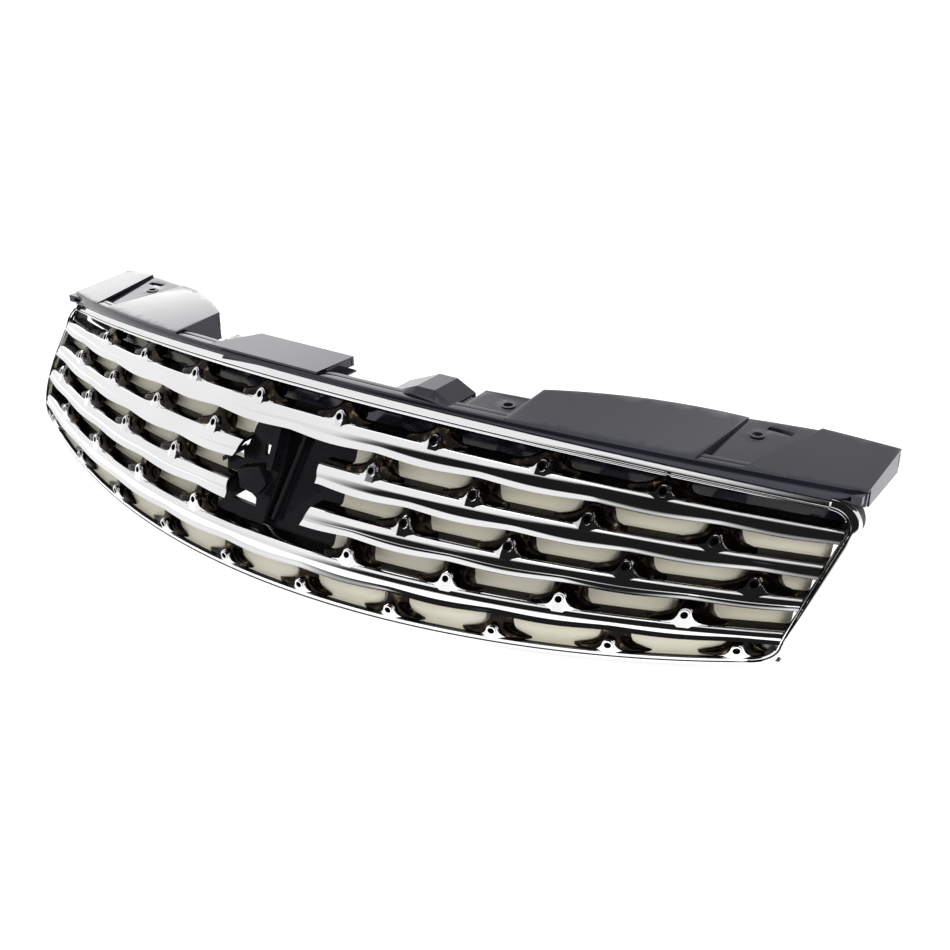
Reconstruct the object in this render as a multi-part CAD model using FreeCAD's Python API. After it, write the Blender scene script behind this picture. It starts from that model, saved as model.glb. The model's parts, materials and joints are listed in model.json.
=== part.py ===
import FreeCAD, Part
import math
import os

os.makedirs("parts", exist_ok=True)

# Front grille: a chrome surround with four swept bars, a round emblem bay, and a black
# cover on top. X runs across, +Z up, and the face looks along -Y. All sizes in mm.
# "Level" is the height of a line on the face at the centre, measured from the top edge of
# the first row of bosses. "Depth" is how far a point lies behind the face.

# ---- the curved face ----
BASE_Z = 140.0            # height of level 0 at the centre, before the move below
ORIGIN = FreeCAD.Vector(0.0, -65.4, -1.5)   # puts the origin at the bottom centre of the whole
REF_HALF = 412.0          # half width at which the sweep and the end drop are quoted
SWEEP = 100.0             # how far the face goes back at the ends
SWEEP_GAIN = 0.08         # extra sweep per mm below level 0
END_DROP = 32.6           # how far level 0 falls at the ends
END_FAN = 0.332           # how much the lines close up at the ends
LEAN_A = 0.62             # face lean: slope at level 0
LEAN_B = -0.0013
LEAN_C = -0.00002

# ---- surround ----
TOP_LEVEL = 11.5          # inner edge of the top rail
BOTTOM_LEVEL = -130.0     # inner edge of the bottom rail
RAIL_WIDTH = 7.5
BOTTOM_WIDTH = 8.5
RAIL_DEPTH = 9.0
SIDE_HALF = 415.0         # half width of the opening at level 0
SIDE_TAPER = 0.19         # how much narrower per mm down
TOP_CORNER_R = 14.0
BOTTOM_CORNER_R = 17.0
BOTTOM_CURL = 6.0         # rise of the bottom rail at its ends

# ---- bars ----
BAR_LEVELS = {1: -4.3, 2: -34.4, 3: -64.0, 4: -95.2}
BAR_FACE = {1: 12.9, 2: 12.3, 3: 11.6, 4: 13.0}     # height of each bar at the centre
BAR_TAPER = 3.2           # how much lower a bar is at its ends
LIP_WAVE = 1.8
LIP_FLARE = 1.2           # how far the lip stands proud of the face
SKIN = 2.4
BEVEL = 2.8               # height of the bevel along a bar's top edge
CREASE_SHARE = 0.7        # share of a bar's height above the crease of its lip
SHELF_DEPTH = 17.0
LOUVER_RISE = 13.0
LOUVER_START = 58.0       # where the right louvers start, beyond the bay
LOW_LOUVER_DEPTH = 6.0    # depth of the lowest louver behind the face
LOUVER_BACK = 6.0
STATIONS = 41

# ---- bosses and posts ----
ROW_PITCH = {1: 84.8, 2: 84.7, 3: 82.5, 4: 83.6, 5: 82.4}
ROW_STEPS = {
    1: (0.5, 1.5, 2.5, 3.5),
    2: (1.0, 2.0, 3.0, 4.0),
    3: (1.5, 2.5, 3.5, 4.5),
    4: (1.0, 2.0, 3.0, 4.0),
    5: (0.5, 1.5, 2.5, 3.5, 4.5),
}
BOSS_R = 4.2
BOSS_HOLE_R = 2.3
BOSS_RISE = {1: 4.4, 2: 5.6, 3: 7.0, 4: 7.2, 5: 6.6}   # height of each row's ring centres
POST_DEPTH = 25.0
POST_STEPS = (            # share of height, half width, front face
    (0.0, 19.0, 2.0), (0.10, 13.5, 2.0), (0.26, 9.0, 2.4), (0.5, 7.4, 4.6), (1.0, 6.6, 9.0),
)

# ---- emblem bay ----
BAY_X = -5.0
BAY_LEVEL = -55.0
BAY_R = 46.0

# ---- cover ----
COVER_HALF = 421.0
LIP_BASE = 3.6            # height of the front lip at the centre
LIP_GAIN = 7.5            # extra height at the ends
SHEET = 2.6
STRIP_DEPTH = 9.0         # front to back of the strip's top
PLATE_FRONT = 2.2         # how far behind the lip the plates start
SKIRT = 14.0
RAISE = 1.6               # height of the plates' front edges over the strip
RAISE_BACK = 5.0          # height of the raised plates' inner back corners over the strip
RAISE_FALL = 7.0          # how much lower their outer back corners are
BACK_NEAR = 88.0          # back of the raised plates at their inner ends
BACK_FAR = 166.0          # and at their outer ends
BACK_BULGE = 4.0          # how far the back edge bows out between them
END_BACK = (166.0, 176.0, 190.0)   # back of the cover at the ends of the low and end plates
LOW_FRONT = (-5.0, -1.5)  # height of the low plates' front corners over the strip
LOW_BACK = (-3.0, 3.0)    # and of their back corners
END_FRONT = 0.5           # height of the end plates' front edges over the strip
END_HIGH = 5.0            # and of their back edges
END_SLANT = 24.0          # how far an end plate reaches inward at its front
RAISED_IN = 175.0         # span of a raised plate across the cover
RAISED_OUT = 311.0
LOW_OUT = 365.0           # outer end of a low plate
HOLE_R = 3.8
OUTER_HOLE_X = 328.0
OUTER_HOLE_Y = 142.0
OUTER_HOLE_RISE = -1.4    # top of its collar over the strip
INNER_HOLE_X = 162.0
INNER_HOLE_Y = 58.0


# ---------------------------------------------------------------- face geometry
def lean(level):
    return LEAN_A * level + LEAN_B * level ** 2 + LEAN_C * level ** 3


def lean_slope(level):
    return LEAN_A + 2 * LEAN_B * level + 3 * LEAN_C * level ** 2


def face_y(x, level):
    u = x / REF_HALF
    return lean(level) + (SWEEP - SWEEP_GAIN * level) * u * u


def face_z(x, level):
    u = x / REF_HALF
    return BASE_Z + level - (END_DROP + END_FAN * level) * u * u


def face_point(x, level, depth=0.0):
    return FreeCAD.Vector(x, face_y(x, level) + depth, face_z(x, level))


def side_x(level):
    return SIDE_HALF + SIDE_TAPER * level


# ---------------------------------------------------------------- solid helpers
def wire(points):
    pts = [FreeCAD.Vector(p) for p in points]
    return Part.makePolygon(pts + [pts[0]])


def spread(lo, hi, count):
    return [lo + (hi - lo) * i / (count - 1) for i in range(count)]


def loft(sections, ruled=False):
    return Part.makeLoft([wire(s) for s in sections], True, ruled)


def section_at(x, profile):
    return [FreeCAD.Vector(x, y, z) for y, z in profile]


def prism(points, push):
    return Part.Face(wire(points)).extrude(FreeCAD.Vector(push))


def box(x0, x1, y0, y1, z0, z1):
    return Part.makeBox(x1 - x0, y1 - y0, z1 - z0, FreeCAD.Vector(x0, y0, z0))


def mirror_x(shape):
    return shape.mirror(FreeCAD.Vector(0, 0, 0), FreeCAD.Vector(1, 0, 0))


def save(name, *solids):
    shape = solids[0] if len(solids) == 1 else Part.makeCompound(list(solids))
    shape = shape.translated(ORIGIN)
    for solid in shape.Solids:
        if not solid.isValid() or solid.Volume <= 0:
            print("CHECK", name, solid.isValid(), round(solid.Volume, 1))
    shape.exportStep("parts/" + name + ".step")
    print(name, len(shape.Solids), [round(v, 1) for v in (
        shape.BoundBox.XMin, shape.BoundBox.XMax, shape.BoundBox.YMin,
        shape.BoundBox.YMax, shape.BoundBox.ZMin, shape.BoundBox.ZMax)])


# ---------------------------------------------------------------- surround
def corner_points(centre_x, centre_level, radius, start, stop, count):
    out = []
    for angle in spread(start, stop, count):
        a = math.radians(angle)
        out.append((centre_x + radius * math.cos(a), centre_level + radius * math.sin(a)))
    return out


def side_outline():
    """Inner edge of the surround on the right, from the top corner to the bottom one."""
    tilt = math.degrees(math.atan(SIDE_TAPER))
    top_level = TOP_LEVEL - TOP_CORNER_R
    low_level = BOTTOM_LEVEL + BOTTOM_CURL + BOTTOM_CORNER_R
    top = corner_points(side_x(top_level) - TOP_CORNER_R, top_level, TOP_CORNER_R, 90, -tilt, 6)
    low = corner_points(
        side_x(low_level) - BOTTOM_CORNER_R, low_level, BOTTOM_CORNER_R, -tilt, -90, 6)
    middle = [(side_x(v), v) for v in spread(top[-1][1], low[0][1], 6)[1:-1]]
    return top + middle + low


def bottom_level(x):
    return BOTTOM_LEVEL + BOTTOM_CURL * abs(x / 380.0) ** 6


def rail_profile(width):
    """Offsets (outward, back) of the surround section: a bead, a groove and a bevel."""
    return [
        (0.0, 3.5), (0.0, 0.8), (0.6, 0.0), (1.8, 0.0), (2.2, 1.0), (2.8, 1.0), (3.2, -0.2),
        (width - 0.6, 0.2), (width, 1.0), (width, RAIL_DEPTH), (width - 2.6, RAIL_DEPTH),
        (width - 2.6, 3.5),
    ]


def sweep_rail(path, profile):
    """Section carried square to a path; the back direction stays as near +Y as it can."""
    sections = []
    for i, here in enumerate(path):
        before = path[max(i - 1, 0)]
        after = path[min(i + 1, len(path) - 1)]
        along = (after - before).normalize()
        back = FreeCAD.Vector(0, 1, 0) - along * along.y
        back.normalize()
        out = along.cross(back)
        sections.append([here + out * n + back * b for n, b in profile])
    return loft(sections)


def rail_x_section(x, level, width, sign):
    rows = []
    for n, b in rail_profile(width):
        rows.append((face_y(x, level + sign * n) + b, face_z(x, level + sign * n)))
    return section_at(x, rows)


def make_surround_top():
    end = side_x(TOP_LEVEL - TOP_CORNER_R) - TOP_CORNER_R
    return loft([rail_x_section(x, TOP_LEVEL, RAIL_WIDTH, 1.0) for x in spread(-end, end, 21)])


def bottom_end():
    return side_x(BOTTOM_LEVEL + BOTTOM_CURL + BOTTOM_CORNER_R) - BOTTOM_CORNER_R


def make_surround_bottom():
    """Bottom rail with the shelf that its posts stand on."""
    sections = []
    for x in spread(-bottom_end(), bottom_end(), 27):
        level = bottom_level(x)
        rows = [(face_y(x, level - n) + b, face_z(x, level - n)) for n, b in (
            (0.0, 0.8), (0.6, 0.0), (2.4, 0.0), (2.8, 1.0), (3.4, 1.0), (3.8, -0.2),
            (BOTTOM_WIDTH - 0.6, 0.2), (BOTTOM_WIDTH, 1.0), (BOTTOM_WIDTH, 5.0),
            (SKIN, 5.0), (SKIN, SHELF_DEPTH), (0.0, SHELF_DEPTH))]
        sections.append(section_at(x, rows))
    return loft(sections)


def make_surround_side():
    path = [face_point(x, level) for x, level in side_outline()]
    return sweep_rail(path, rail_profile(RAIL_WIDTH))


# ---------------------------------------------------------------- bars and louvers
def lip_drop(x, row):
    """The lower lip bulges between the bosses of the row below."""
    pitch = ROW_PITCH[row + 1]
    phase = 0.0 if ROW_STEPS[row + 1][0] == 1.0 else 0.5
    wave = 0.5 - 0.5 * math.cos(2 * math.pi * (x / pitch - phase))
    u = x / REF_HALF
    return BAR_FACE[row] - BAR_TAPER * u * u + LIP_WAVE * (wave - 0.5)


def bar_section(x, row):
    level = BAR_LEVELS[row]
    lip = lip_drop(x, row)
    crease = CREASE_SHARE * lip
    rows = [(face_y(x, level - fall) + depth, face_z(x, level - fall)) for fall, depth in (
        (0.0, 2.4), (BEVEL, 0.3), (crease, 0.0), (lip, -LIP_FLARE), (lip, 1.4), (crease, 2.3))]
    y = face_y(x, level)
    z = face_z(x, level)
    rows += [(y + 3.4, z - 3.0), (y + SHELF_DEPTH, z - SKIN), (y + SHELF_DEPTH, z)]
    return section_at(x, rows)


def make_bar(row, x0, x1):
    count = max(9, int(STATIONS * (x1 - x0) / (2 * SIDE_HALF)))
    return loft([bar_section(x, row) for x in spread(x0, x1, count)])


def louver_section(x, level, depth):
    s = lean_slope(level)
    y = face_y(x, level) + depth
    z = face_z(x, level)
    top = LOUVER_BACK + s * 2
    rows = [(0.0, 0.0), (0.0, -SKIN), (3.4, -1.2), (top + 1.8, LOUVER_RISE), (top, LOUVER_RISE),
            (2.4, 3.0)]
    return section_at(x, [(y + dy, z + dz) for dy, dz in rows])


def make_louver(level_at, x0, x1, depth=SHELF_DEPTH):
    return loft([louver_section(x, level_at(x), depth) for x in spread(x0, x1, 21)])


def bay_cutter(extra=0.0):
    centre = FreeCAD.Vector(BAY_X, -150, BASE_Z + BAY_LEVEL)
    return Part.makeCylinder(BAY_R + extra, 300, centre, FreeCAD.Vector(0, 1, 0))


def bar_reach(row):
    return side_x(BAR_LEVELS[row] - BAR_FACE[row] / 2) + 0.6


# ---------------------------------------------------------------- bosses and posts
def boss_outline(rise):
    """Front outline of a boss: two hollow ramps rising to a round head."""
    left = [(-14.0, -2.0), (-14.0, 0.0), (-10.0, 0.16 * rise), (-7.0, 0.42 * rise), (-5.0, 0.9 * rise)]
    head = []
    for angle in spread(170, 10, 9):
        a = math.radians(angle)
        head.append((BOSS_R * math.cos(a), rise + BOSS_R * math.sin(a)))
    right = [(-x, z) for x, z in reversed(left)]
    return left + head + right


def seat(x, level):
    """Carry local points onto the bar at x, following its lean, sweep and fall."""
    step = 1.0
    sweep = (face_y(x + step, level) - face_y(x - step, level)) / (2 * step)
    fall = (face_z(x + step, level) - face_z(x - step, level)) / (2 * step)
    slope = lean_slope(level)
    origin = face_point(x, level)

    def carry(px, py, pz):
        return origin + FreeCAD.Vector(px, py + sweep * px + slope * pz, pz + fall * px)

    return carry


def make_post(height, rise, carry):
    """One boss plate with its ring, and the post behind it, standing on a shelf."""
    back = FreeCAD.Vector(0, 1, 0)
    plate = prism([carry(x, 0.0, z) for x, z in boss_outline(rise)], back * SKIN)
    ring = Part.makeCylinder(BOSS_R, SKIN + 3.0, carry(0, -1.0, rise), back)
    bore = Part.makeCylinder(BOSS_HOLE_R, SKIN + 6.0, carry(0, -4.0, rise), back)
    floors = []
    for share, half, front in POST_STEPS:
        corners = ((-half, front), (half, front), (half, POST_DEPTH), (-half, POST_DEPTH))
        z = share * height
        floors.append([carry(x, y, z) for x, y in corners])
    return plate.fuse([ring, loft(floors, True)]).cut(bore)


def row_level(row, x):
    return bottom_level(x) if row == 5 else BAR_LEVELS[row]


def make_post_row(row):
    solids = []
    for step in ROW_STEPS[row]:
        for side in (-1, 1):
            x = side * step * ROW_PITCH[row]
            level = row_level(row, x)
            above = TOP_LEVEL if row == 1 else row_level(row - 1, x) - SKIN - 0.2
            height = face_z(x, above) - face_z(x, level)
            solids.append(make_post(height, BOSS_RISE[row], seat(x, level)))
    return solids


# ---------------------------------------------------------------- emblem bay
def bay_plate(points, depth, thick):
    slope = lean_slope(BAY_LEVEL)
    y0 = lean(BAY_LEVEL) + depth
    outline = [(x, y0 + slope * (v - BAY_LEVEL), BASE_Z + v) for x, v in points]
    return prism(outline, (0, thick, 0))


def make_bay_backplate():
    """Wall across the bay behind the hub, with the rib that stands on it."""
    outline = [(-20, -20), (84, -20), (84, -110), (-60, -110), (-60, -97), (-20, -97)]
    plate = bay_plate(outline, 27.0, 3.0)
    rib = bay_plate([(2, -26), (6, -26), (-4, -90), (-8, -90)], 20.0, 8.0)
    return plate.fuse(rib).removeSplitter()


def make_bay_hub():
    """Angular web across the left of the bay, with three openings through it."""
    outline = [(-46, -21), (-12, -21), (-8, -54), (-12, -94), (-66, -94), (-58, -78), (-68, -58),
               (-66, -50), (-50, -44)]
    body = bay_plate(outline, 18.0, 4.0)
    openings = (
        [(-32, -39), (-24, -40), (-23, -48), (-30, -47)],
        [(-64, -54), (-54, -48), (-51, -54)],
        [(-51, -83), (-38, -74), (-27, -78), (-25, -84)],
    )
    holes = [bay_plate(points, 10.0, 20.0) for points in openings]
    arm = bay_plate([(-48, -58), (-26, -52), (-14, -62), (-20, -72), (-40, -70)], 9.0, 9.5)
    stem = bay_plate([(-22, -21), (-16, -21), (-14, -54), (-20, -54)], 11.0, 7.5)
    return body.cut(holes).fuse([arm, stem]).removeSplitter()


def make_bay_vane():
    """Thin wing that reaches from the hub to the ends of the left bars."""
    return bay_plate([(-49, -41), (-70, -55), (-68, -58), (-51, -47)], 12.0, 3.0)


# ---------------------------------------------------------------- cover
def lip_top(x):
    u = x / REF_HALF
    return face_z(x, TOP_LEVEL + RAIL_WIDTH) + LIP_BASE + LIP_GAIN * u * u


def cover_front(x):
    return face_y(x, TOP_LEVEL + RAIL_WIDTH) + 1.4


def make_cover_strip():
    sections = []
    for x in spread(-COVER_HALF, COVER_HALF, 25):
        y = cover_front(x)
        top = lip_top(x)
        low = face_z(x, TOP_LEVEL + RAIL_WIDTH)
        sections.append(section_at(x, [
            (y, low), (y + 1.2, top - 1.2), (y + 2.4, top), (y + STRIP_DEPTH, top),
            (y + STRIP_DEPTH, top - SHEET), (y + 4.4, top - SHEET), (y + 3.0, low)]))
    return loft(sections)


def make_inner_flange():
    sections = []
    for x in spread(-COVER_HALF + 14.0, COVER_HALF - 14.0, 25):
        y = cover_front(x) + STRIP_DEPTH
        top = lip_top(x)
        low = face_z(x, BAR_LEVELS[1] - 8.0)
        back = face_y(x, BAR_LEVELS[1]) + SHELF_DEPTH + 8.4
        sections.append(section_at(x, [
            (y, top), (y + 6.0, top), (back + SHEET, low), (back, low), (y + 3.2, top - SHEET),
            (y, top - SHEET)]))
    return loft(sections)


def cover_slab(x0, x1, back0, back1, rise, rise_back, front_gap=PLATE_FRONT, count=7):
    """Sheet behind the strip; its front follows the strip and its back may stand higher."""
    sections = []
    for x in spread(x0, x1, count):
        t = (x - x0) / (x1 - x0)
        back = back0 + (back1 - back0) * t
        y = cover_front(x) + front_gap
        top = lip_top(x) + rise
        high = lip_top(x) + rise_back
        sections.append(section_at(x, [
            (y, top), (back, high), (back, high - SHEET), (y, top - SHEET)]))
    return loft(sections)


def cover_wall(x0, x1, y_of, rise, drop, count=7):
    """Upright sheet that hangs from a slab's edge."""
    sections = []
    for x in spread(x0, x1, count):
        y = y_of(x)
        top = lip_top(x) + rise
        sections.append(section_at(x, [(y, top), (y + SHEET, top), (y + SHEET, top - drop), (y, top - drop)]))
    return loft(sections)


def end_wall(x, inward, back, rise, rise_back, drop, front_gap=STRIP_DEPTH):
    """Upright sheet across a slab's end, at x and SHEET thick toward inward."""
    start = cover_front(x) + PLATE_FRONT
    y = cover_front(x) + front_gap
    top = lip_top(x) + rise + (rise_back - rise) * (y - start) / (back - start)
    high = lip_top(x) + rise_back
    low = lip_top(x) + rise - drop
    face = [(x, y, top), (x, back, high), (x, back, low), (x, y, low)]
    return prism(face, (inward * SHEET, 0, 0))


def raised_share(x):
    return (abs(x) - RAISED_IN) / (RAISED_OUT - RAISED_IN)


def raised_back(x):
    t = raised_share(x)
    return BACK_NEAR + (BACK_FAR - BACK_NEAR) * t + 4 * BACK_BULGE * t * (1 - t)


def raised_high(x):
    return RAISE_BACK - RAISE_FALL * raised_share(x) ** 2


def make_raised_plate(inner):
    sections = []
    walls = []
    for x in spread(inner, RAISED_OUT, 13):
        front = cover_front(x) + PLATE_FRONT
        back = raised_back(x)
        top = lip_top(x) + RAISE
        high = lip_top(x) + raised_high(x)
        sections.append(section_at(x, [(front, top), (back, high), (back, high - SHEET), (front, top - SHEET)]))
        walls.append(section_at(x, [
            (back - SHEET, high - 1.0), (back - 0.3, high - 1.0), (back - 0.3, high - SKIRT),
            (back - SHEET, high - SKIRT)]))
    low = RAISE - 1.0
    inside = end_wall(inner + 0.2, 1, raised_back(inner) - 0.6, low, raised_high(inner) - 1.0, 21.0)
    outside = end_wall(
        RAISED_OUT - 0.2, -1, raised_back(RAISED_OUT) - 0.6, low, raised_high(RAISED_OUT) - 1.0, SKIRT)
    return loft(sections).fuse([loft(walls), inside, outside]).removeSplitter()


def hole(x, y, radius):
    return Part.makeCylinder(radius, 80.0, FreeCAD.Vector(x, y, BASE_Z - 60.0))


def collar(x, y, top):
    ring = Part.makeCylinder(HOLE_R + 2.2, 3.4, FreeCAD.Vector(x, y, top - 3.0))
    return ring.cut(hole(x, y, HOLE_R))


def blend(ends, t):
    return ends[0] + (ends[1] - ends[0]) * t


def make_low_plate():
    x0, x1 = RAISED_OUT, LOW_OUT
    sections = []
    walls = []
    for x in spread(x0, x1, 7):
        t = (x - x0) / (x1 - x0)
        front = cover_front(x) + STRIP_DEPTH
        back = blend(END_BACK[:2], t)
        top = lip_top(x) + blend(LOW_FRONT, t)
        high = lip_top(x) + blend(LOW_BACK, t)
        sections.append(section_at(x, [(front, top), (back, high), (back, high - SHEET), (front, top - SHEET)]))
        walls.append(section_at(x, [
            (back - SHEET, high - 1.0), (back - 0.3, high - 1.0), (back - 0.3, high - 8.0),
            (back - SHEET, high - 8.0)]))
    body = loft(sections).fuse(loft(walls)).cut(hole(OUTER_HOLE_X, OUTER_HOLE_Y, HOLE_R))
    slot = box(330.0, 350.0, 155.0, 161.0, BASE_Z - 60.0, BASE_Z + 40.0)
    ring = collar(OUTER_HOLE_X, OUTER_HOLE_Y, lip_top(OUTER_HOLE_X) + OUTER_HOLE_RISE)
    return body.cut(slot).fuse(ring).removeSplitter()


def make_end_plate():
    """Its inner edge runs inward from back to front, over the low plate's corner."""
    x0, x1 = LOW_OUT, COVER_HALF
    sections = []
    walls = []
    for x in spread(x0, x1, 7):
        t = (x - x0) / (x1 - x0)
        fore = x - END_SLANT * (1 - t)
        front = cover_front(fore) + PLATE_FRONT
        back = blend(END_BACK[1:], t)
        top = lip_top(fore) + END_FRONT
        high = lip_top(x) + END_HIGH
        sections.append([FreeCAD.Vector(*p) for p in (
            (fore, front, top), (x, back, high), (x, back, high - SHEET), (fore, front, top - SHEET))])
        walls.append(section_at(x, [
            (back - SHEET, high - 1.0), (back - 0.3, high - 1.0), (back - 0.3, high - SKIRT),
            (back - SHEET, high - SKIRT)]))
    outside = end_wall(x1 - 0.2, -1, END_BACK[2] - 0.6, END_FRONT - 1.0, END_HIGH - 1.0, SKIRT)
    return loft(sections).fuse([loft(walls), outside]).removeSplitter()


def make_inner_flat_right():
    slab = cover_slab(134.0, 175.0, 70.0, 80.0, -2.0, -1.0, STRIP_DEPTH, 5)
    rear = cover_wall(134.0, 175.0, lambda x: 70.0 + (x - 134.0) * 10.0 / 41.0 - SHEET, -1.0, 8.0, 5)
    body = slab.fuse(rear).cut(hole(INNER_HOLE_X, INNER_HOLE_Y, HOLE_R))
    ring = collar(INNER_HOLE_X, INNER_HOLE_Y, lip_top(INNER_HOLE_X) - 1.2)
    return body.fuse(ring).removeSplitter()


def make_inner_flat_left():
    slab = cover_slab(-126.0, -94.0, 62.0, 58.0, -3.4, -3.4, STRIP_DEPTH, 5)
    slot = box(-114.0, -102.0, 46.0, 52.0, BASE_Z - 60.0, BASE_Z + 60.0)
    return slab.cut(slot)


def make_centre_plate():
    """Flat plate that rests on the strip near the middle, with walls along its other edges."""
    top = BASE_Z + 25.0
    y0 = cover_front(0.0) + PLATE_FRONT
    behind = cover_front(0.0) + STRIP_DEPTH + 2.6
    corners = [(-112.0, y0), (9.0, y0), (11.0, 58.0), (-92.0, 58.0)]
    slab = prism([(x, y, top) for x, y in corners], (0, 0, -1.9))
    rear = box(-91.5, 11.0, 58.0 - SHEET, 58.0, top - 8.0, top - 1.0)
    side = box(10.6 - SHEET, 10.6, behind, 58.0, top - 8.0, top - 1.0)
    foot = box(4.0, 20.0, behind, 50.0, top - 9.0, top - 7.4)
    return slab.fuse([rear, side, foot]).removeSplitter()


def make_ramp_block():
    top = BASE_Z + 27.5
    low = BASE_Z + 17.5
    sections = []
    for y, drop in ((24.0, 4.0), (30.0, 0.0), (60.0, 0.0)):
        sections.append([FreeCAD.Vector(x, y, z) for x, z in (
            (67.0, low - 2.0), (97.0, top - drop), (114.0, top - drop), (131.0, low + 1.5), (131.0, low - 4.0),
            (67.0, low - 4.0))])
    body = loft(sections, True)
    pocket = box(77.0, 129.0, 20.0, 58.0, low - 10.0, low - 1.0)
    return body.cut(pocket)


def make_corner_pocket():
    """Black corner bracket at the end of the top rail, with an open pocket in its front."""
    x0, x1 = 386.0, 420.0
    y0 = face_y(400.0, 12.0) + 7.0
    low = face_z(402.0, TOP_LEVEL + RAIL_WIDTH + 1.0)
    high = lip_top(404.0) - SHEET - 0.4
    body = box(x0, x1, y0, y0 + 24.0, low, high)
    pocket = box(x0 + 6.0, x1 - 8.0, y0 - 1.0, y0 + 14.0, low + 1.8, high - 1.8)
    return body.cut(pocket)


# ---------------------------------------------------------------- rear base frame
def make_base_bottom():
    sections = []
    for x in spread(-bottom_end(), bottom_end(), 21):
        level = bottom_level(x)
        rows = [(face_y(x, level - n) + b, face_z(x, level - n)) for n, b in (
            (3.0, 6.0), (3.0, 20.0), (5.4, 20.0), (5.4, 8.4), (BOTTOM_WIDTH, 8.4), (BOTTOM_WIDTH, 6.0))]
        sections.append(section_at(x, rows))
    return loft(sections)


def make_base_side():
    path = [face_point(x, level, RAIL_DEPTH + 0.6) for x, level in side_outline()]
    profile = [(1.0, 0.0), (5.0, 0.0), (5.0, 2.4), (3.4, 2.4), (3.4, 16.0), (1.0, 16.0)]
    return sweep_rail(path, profile)


def make_base_tab():
    x = side_x(-118.0) - 2.0
    z = face_z(x, -121.0)
    y = face_y(x, -120.0)
    outline = [(x - 8.0, y + 2.0, z - 4.0), (x + 7.0, y + 2.0, z - 3.0), (x + 7.0, y + 2.0, z + 1.0),
               (x - 2.0, y + 2.0, z + 4.0)]
    return prism(outline, (0, 9.0, 0))


# ---------------------------------------------------------------- build
def build_chrome():
    save("surround_top", make_surround_top())
    save("surround_bottom", make_surround_bottom())
    side = make_surround_side()
    save("surround_side_right", side)
    save("surround_side_left", mirror_x(side))
    save("bar_1", make_bar(1, -bar_reach(1), bar_reach(1)))
    save("bar_4", make_bar(4, -bar_reach(4), bar_reach(4)))
    for row in (2, 3):
        cut = make_bar(row, -bar_reach(row), bar_reach(row)).cut(bay_cutter())
        parts = sorted(cut.Solids, key=lambda s: s.BoundBox.XMin)
        save("bar_%d_left" % row, parts[0])
        save("bar_%d_right" % row, parts[-1])
    for row in ROW_PITCH:
        save("posts_row_%d" % row, *make_post_row(row))


def build_louvers():
    for row in (2, 3, 4):
        level = BAR_LEVELS[row]
        end = bar_reach(row) - 1.2
        save("louver_%d_left" % row, make_louver(lambda x: level, -end, BAY_X - BAY_R))
        save("louver_%d_right" % row, make_louver(lambda x: level, LOUVER_START, end))
    save("louver_5", make_louver(bottom_level, -bottom_end(), bottom_end(), LOW_LOUVER_DEPTH))


def build_bay():
    save("bay_backplate", make_bay_backplate())
    save("bay_hub", make_bay_hub())
    save("bay_vane", make_bay_vane())


def build_cover():
    save("cover_strip", make_cover_strip())
    save("cover_inner_flange", make_inner_flange())
    pairs = {
        "cover_end_plate": make_end_plate(),
        "cover_low_plate": make_low_plate(),
        "corner_pocket": make_corner_pocket(),
    }
    for name, shape in pairs.items():
        save(name + "_right", shape)
        save(name + "_left", mirror_x(shape))
    save("cover_raised_plate_right", make_raised_plate(RAISED_IN))
    save("cover_raised_plate_left", mirror_x(make_raised_plate(171.0)))
    save("cover_inner_flat_right", make_inner_flat_right())
    save("cover_inner_flat_left", make_inner_flat_left())
    save("cover_centre_plate", make_centre_plate())
    save("cover_ramp_block", make_ramp_block())


def build_base():
    save("base_frame_bottom", make_base_bottom())
    side = make_base_side()
    save("base_frame_side_right", side)
    save("base_frame_side_left", mirror_x(side))
    tab = make_base_tab()
    save("base_tabs", tab, mirror_x(tab))


build_chrome()
build_louvers()
build_bay()
build_cover()
build_base()
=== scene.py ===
import json
import math

import bmesh
import bpy
from mathutils import Matrix, Vector


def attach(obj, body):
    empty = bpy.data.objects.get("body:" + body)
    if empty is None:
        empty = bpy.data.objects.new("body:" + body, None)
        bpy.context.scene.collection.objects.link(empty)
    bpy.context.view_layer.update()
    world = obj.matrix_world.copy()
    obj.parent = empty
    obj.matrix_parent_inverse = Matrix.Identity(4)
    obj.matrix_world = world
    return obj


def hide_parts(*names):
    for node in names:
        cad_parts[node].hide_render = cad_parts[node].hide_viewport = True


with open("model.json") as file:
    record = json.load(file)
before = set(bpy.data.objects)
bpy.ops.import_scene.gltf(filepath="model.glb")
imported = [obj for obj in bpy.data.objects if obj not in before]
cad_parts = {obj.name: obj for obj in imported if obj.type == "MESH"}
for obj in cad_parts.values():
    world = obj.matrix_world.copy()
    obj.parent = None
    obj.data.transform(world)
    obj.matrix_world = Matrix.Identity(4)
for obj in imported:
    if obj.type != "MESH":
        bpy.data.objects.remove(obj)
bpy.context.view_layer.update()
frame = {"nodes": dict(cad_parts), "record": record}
NODES = frame["nodes"]
MM = 0.001

COOL_TINT = (0.90, 0.91, 1.0, 1.0)    # the black plastics mirror a slightly blue white


# ------------------------------------------------------------------ materials
def new_material(name):
    mat = bpy.data.materials.new(name)
    mat.use_nodes = True
    tree = mat.node_tree
    tree.nodes.clear()
    out = tree.nodes.new("ShaderNodeOutputMaterial")
    bsdf = tree.nodes.new("ShaderNodeBsdfPrincipled")
    tree.links.new(bsdf.outputs["BSDF"], out.inputs["Surface"])
    return mat, tree, bsdf


def noise(tree, scale, detail=3.0, rough=0.5):
    """Noise in object coordinates, so it keeps its scale on every piece."""
    tex = tree.nodes.new("ShaderNodeTexNoise")
    tex.inputs["Scale"].default_value = scale
    tex.inputs["Detail"].default_value = detail
    tex.inputs["Roughness"].default_value = rough
    where = tree.nodes.new("ShaderNodeTexCoord")
    tree.links.new(where.outputs["Object"], tex.inputs["Vector"])
    return tex.outputs["Fac"]


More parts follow.
